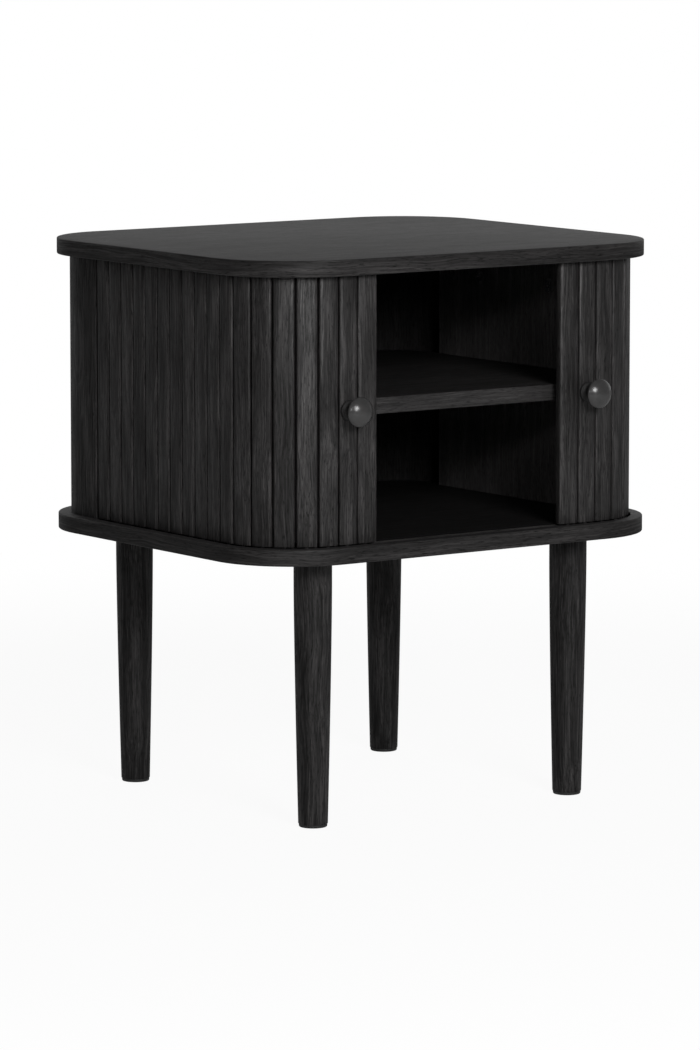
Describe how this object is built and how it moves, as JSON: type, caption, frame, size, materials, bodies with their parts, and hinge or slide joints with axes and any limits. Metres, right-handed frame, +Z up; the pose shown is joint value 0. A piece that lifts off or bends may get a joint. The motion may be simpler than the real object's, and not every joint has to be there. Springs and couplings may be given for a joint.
{
  "type": "bedside table with tambour doors",
  "caption": "Black oak bedside table with rounded corners, sliding tambour doors with knobs, one inner shelf and turned legs.",
  "frame": {"origin": "On the floor, under the middle of the whole footprint, from the front of the knobs to the back edge of the top panel.", "axes": "+Z up, front with the doors towards -Y, +X to the right as seen from behind the front, looking along +Y"},
  "size_m": [0.5, 0.449, 0.56],
  "materials": {
    "black_oak": "black-stained open-grain oak veneer, satin lacquer",
    "black_oak_slats": "black-stained oak veneer with the grain upright, satin lacquer",
    "black_oak_legs": "turned solid oak, black stain, satin lacquer",
    "black_board": "black-stained veneered board, satin",
    "black_cloth": "black cotton backing cloth",
    "black_lacquer": "turned knob, black semi-gloss lacquer",
    "zinc_steel": "bright zinc-plated steel",
    "black_steel": "black powder-coated steel",
    "grey_plastic": "dark grey moulded plastic"
  },
  "bodies": {
    "carcass": {"top_panel": "black_oak", "bottom_panel": "black_oak", "shelf": "black_oak", "back_panel": "black_board", "left_side_panel": "black_board", "left_rear_corner": "black_oak_slats", "left_front_cam_lock": "zinc_steel", "left_front_shelf_pin": "zinc_steel", "left_back_cam_lock": "zinc_steel", "left_back_shelf_pin": "zinc_steel", "right_side_panel": "black_board", "right_rear_corner": "black_oak_slats", "right_front_cam_lock": "zinc_steel", "right_front_shelf_pin": "zinc_steel", "right_back_cam_lock": "zinc_steel", "right_back_shelf_pin": "zinc_steel", "front_left_leg": "black_oak_legs", "front_left_leg_plate": "black_steel", "front_left_glide": "grey_plastic", "front_right_leg": "black_oak_legs", "front_right_leg_plate": "black_steel", "front_right_glide": "grey_plastic", "back_left_leg": "black_oak_legs", "back_left_leg_plate": "black_steel", "back_left_glide": "grey_plastic", "back_right_leg": "black_oak_legs", "back_right_leg_plate": "black_steel", "back_right_glide": "grey_plastic"},
    "left_lead": {"left_slat_01": "black_oak_slats", "left_slat_02": "black_oak_slats", "left_lead_cloth": "black_cloth", "left_knob": "black_lacquer", "left_knob_screw": "zinc_steel"},
    "left_slat_03_body": {"left_slat_03": "black_oak_slats"},
    "left_slat_04_body": {"left_slat_04": "black_oak_slats"},
    "left_slat_05_body": {"left_slat_05": "black_oak_slats"},
    "left_slat_06_body": {"left_slat_06": "black_oak_slats"},
    "left_slat_07_body": {"left_slat_07": "black_oak_slats"},
    "left_slat_08_body": {"left_slat_08": "black_oak_slats"},
    "left_slat_09_body": {"left_slat_09": "black_oak_slats"},
    "left_slat_10_body": {"left_slat_10": "black_oak_slats"},
    "left_slat_11_body": {"left_slat_11": "black_oak_slats"},
    "left_slat_12_body": {"left_slat_12": "black_oak_slats"},
    "left_tail": {"left_tail_slats": "black_oak_slats"},
    "right_lead": {"right_slat_01": "black_oak_slats", "right_slat_02": "black_oak_slats", "right_lead_cloth": "black_cloth", "right_knob": "black_lacquer", "right_knob_screw": "zinc_steel"},
    "right_slat_03_body": {"right_slat_03": "black_oak_slats"},
    "right_slat_04_body": {"right_slat_04": "black_oak_slats"},
    "right_slat_05_body": {"right_slat_05": "black_oak_slats"},
    "right_slat_06_body": {"right_slat_06": "black_oak_slats"},
    "right_slat_07_body": {"right_slat_07": "black_oak_slats"},
    "right_slat_08_body": {"right_slat_08": "black_oak_slats"},
    "right_slat_09_body": {"right_slat_09": "black_oak_slats"},
    "right_slat_10_body": {"right_slat_10": "black_oak_slats"},
    "right_slat_11_body": {"right_slat_11": "black_oak_slats"},
    "right_slat_12_body": {"right_slat_12": "black_oak_slats"},
    "right_tail": {"right_tail_slats": "black_oak_slats"}
  },
  "joints": [
    {"name": "left_door_slide", "type": "slide", "parent": "carcass", "child": "left_lead", "axis": [1, 0, 0], "range_m": [0, 0.1133]},
    {"name": "left_slat_03_turn", "type": "hinge", "parent": "carcass", "child": "left_slat_03_body", "pos_m": [-0.10137, 0.80886, 0.41275], "axis": [0, 0, 1], "range_deg": [0, 6.48]},
    {"name": "left_slat_04_turn", "type": "hinge", "parent": "carcass", "child": "left_slat_04_body", "pos_m": [-0.11717, 0.0766, 0.41275], "axis": [0, 0, 1], "range_deg": [0, 23.72]},
    {"name": "left_slat_05_turn", "type": "hinge", "parent": "carcass", "child": "left_slat_05_body", "pos_m": [-0.12888, -0.04016, 0.41275], "axis": [0, 0, 1], "range_deg": [0, 41.14]},
    {"name": "left_slat_06_turn", "type": "hinge", "parent": "carcass", "child": "left_slat_06_body", "pos_m": [-0.14009, -0.08687, 0.41275], "axis": [0, 0, 1], "range_deg": [0, 58.55]},
    {"name": "left_slat_07_turn", "type": "hinge", "parent": "carcass", "child": "left_slat_07_body", "pos_m": [-0.15115, -0.11092, 0.41275], "axis": [0, 0, 1], "range_deg": [0, 75.96]},
    {"name": "left_slat_08_turn", "type": "hinge", "parent": "carcass", "child": "left_slat_08_body", "pos_m": [-0.15768, -0.11887, 0.41275], "axis": [0, 0, 1], "range_deg": [0, 85.62]},
    {"name": "left_slat_09_turn", "type": "hinge", "parent": "carcass", "child": "left_slat_09_body", "pos_m": [-0.14297, -0.10892, 0.41275], "axis": [0, 0, 1], "range_deg": [0, 70.15]},
    {"name": "left_slat_10_turn", "type": "hinge", "parent": "carcass", "child": "left_slat_10_body", "pos_m": [-0.11339, -0.09782, 0.41275], "axis": [0, 0, 1], "range_deg": [0, 52.74]},
    {"name": "left_slat_11_turn", "type": "hinge", "parent": "carcass", "child": "left_slat_11_body", "pos_m": [-0.05256, -0.08651, 0.41275], "axis": [0, 0, 1], "range_deg": [0, 35.32]},
    {"name": "left_slat_12_turn", "type": "hinge", "parent": "carcass", "child": "left_slat_12_body", "pos_m": [0.1275, -0.07434, 0.41275], "axis": [0, 0, 1], "range_deg": [0, 17.91]},
    {"name": "left_tail_slide", "type": "slide", "parent": "carcass", "child": "left_tail", "axis": [0, -1, 0], "range_m": [0, 0.1133]},
    {"name": "right_door_slide", "type": "slide", "parent": "carcass", "child": "right_lead", "axis": [-1, 0, 0], "range_m": [0, 0.1102]},
    {"name": "right_slat_03_turn", "type": "hinge", "parent": "carcass", "child": "right_slat_03_body", "pos_m": [0.09981, 1.20871, 0.41275], "axis": [0, 0, -1], "range_deg": [0, 4.51]},
    {"name": "right_slat_04_turn", "type": "hinge", "parent": "carcass", "child": "right_slat_04_body", "pos_m": [0.11693, 0.10063, 0.41275], "axis": [0, 0, -1], "range_deg": [0, 21.24]},
    {"name": "right_slat_05_turn", "type": "hinge", "parent": "carcass", "child": "right_slat_05_body", "pos_m": [0.1288, -0.03436, 0.41275], "axis": [0, 0, -1], "range_deg": [0, 38.65]},
    {"name": "right_slat_06_turn", "type": "hinge", "parent": "carcass", "child": "right_slat_06_body", "pos_m": [0.14005, -0.08496, 0.41275], "axis": [0, 0, -1], "range_deg": [0, 56.06]},
    {"name": "right_slat_07_turn", "type": "hinge", "parent": "carcass", "child": "right_slat_07_body", "pos_m": [0.15112, -0.11037, 0.41275], "axis": [0, 0, -1], "range_deg": [0, 73.48]},
    {"name": "right_slat_08_turn", "type": "hinge", "parent": "carcass", "child": "right_slat_08_body", "pos_m": [0.15861, -0.1199, 0.41275], "axis": [0, 0, -1], "range_deg": [0, 84.68]},
    {"name": "right_slat_09_turn", "type": "hinge", "parent": "carcass", "child": "right_slat_09_body", "pos_m": [0.14518, -0.11047, 0.41275], "axis": [0, 0, -1], "range_deg": [0, 70.15]},
    {"name": "right_slat_10_turn", "type": "hinge", "parent": "carcass", "child": "right_slat_10_body", "pos_m": [0.11652, -0.09937, 0.41275], "axis": [0, 0, -1], "range_deg": [0, 52.74]},
    {"name": "right_slat_11_turn", "type": "hinge", "parent": "carcass", "child": "right_slat_11_body", "pos_m": [0.05743, -0.08806, 0.41275], "axis": [0, 0, -1], "range_deg": [0, 35.32]},
    {"name": "right_slat_12_turn", "type": "hinge", "parent": "carcass", "child": "right_slat_12_body", "pos_m": [-0.11766, -0.07589, 0.41275], "axis": [0, 0, -1], "range_deg": [0, 17.91]},
    {"name": "right_tail_slide", "type": "slide", "parent": "carcass", "child": "right_tail", "axis": [0, -1, 0], "range_m": [0, 0.1102]}
  ],
  "couplings": [
    {"joint": "left_slat_03_turn", "follows": "left_door_slide", "rad_per_m": 0.9959},
    {"joint": "left_slat_04_turn", "follows": "left_door_slide", "rad_per_m": 3.6528},
    {"joint": "left_slat_05_turn", "follows": "left_door_slide", "rad_per_m": 6.3353},
    {"joint": "left_slat_06_turn", "follows": "left_door_slide", "rad_per_m": 9.0177},
    {"joint": "left_slat_07_turn", "follows": "left_door_slide", "rad_per_m": 11.7},
    {"joint": "left_slat_08_turn", "follows": "left_door_slide", "rad_per_m": 13.188},
    {"joint": "left_slat_09_turn", "follows": "left_door_slide", "rad_per_m": 10.805},
    {"joint": "left_slat_10_turn", "follows": "left_door_slide", "rad_per_m": 8.1221},
    {"joint": "left_slat_11_turn", "follows": "left_door_slide", "rad_per_m": 5.4397},
    {"joint": "left_slat_12_turn", "follows": "left_door_slide", "rad_per_m": 2.7572},
    {"joint": "left_tail_slide", "follows": "left_door_slide", "ratio": 1},
    {"joint": "right_slat_03_turn", "follows": "right_door_slide", "rad_per_m": 0.71243},
    {"joint": "right_slat_04_turn", "follows": "right_door_slide", "rad_per_m": 3.3616},
    {"joint": "right_slat_05_turn", "follows": "right_door_slide", "rad_per_m": 6.1195},
    {"joint": "right_slat_06_turn", "follows": "right_door_slide", "rad_per_m": 8.8774},
    {"joint": "right_slat_07_turn", "follows": "right_door_slide", "rad_per_m": 11.635},
    {"joint": "right_slat_08_turn", "follows": "right_door_slide", "rad_per_m": 13.41},
    {"joint": "right_slat_09_turn", "follows": "right_door_slide", "rad_per_m": 11.108},
    {"joint": "right_slat_10_turn", "follows": "right_door_slide", "rad_per_m": 8.3506},
    {"joint": "right_slat_11_turn", "follows": "right_door_slide", "rad_per_m": 5.5927},
    {"joint": "right_slat_12_turn", "follows": "right_door_slide", "rad_per_m": 2.8348},
    {"joint": "right_tail_slide", "follows": "right_door_slide", "ratio": 1}
  ]
}
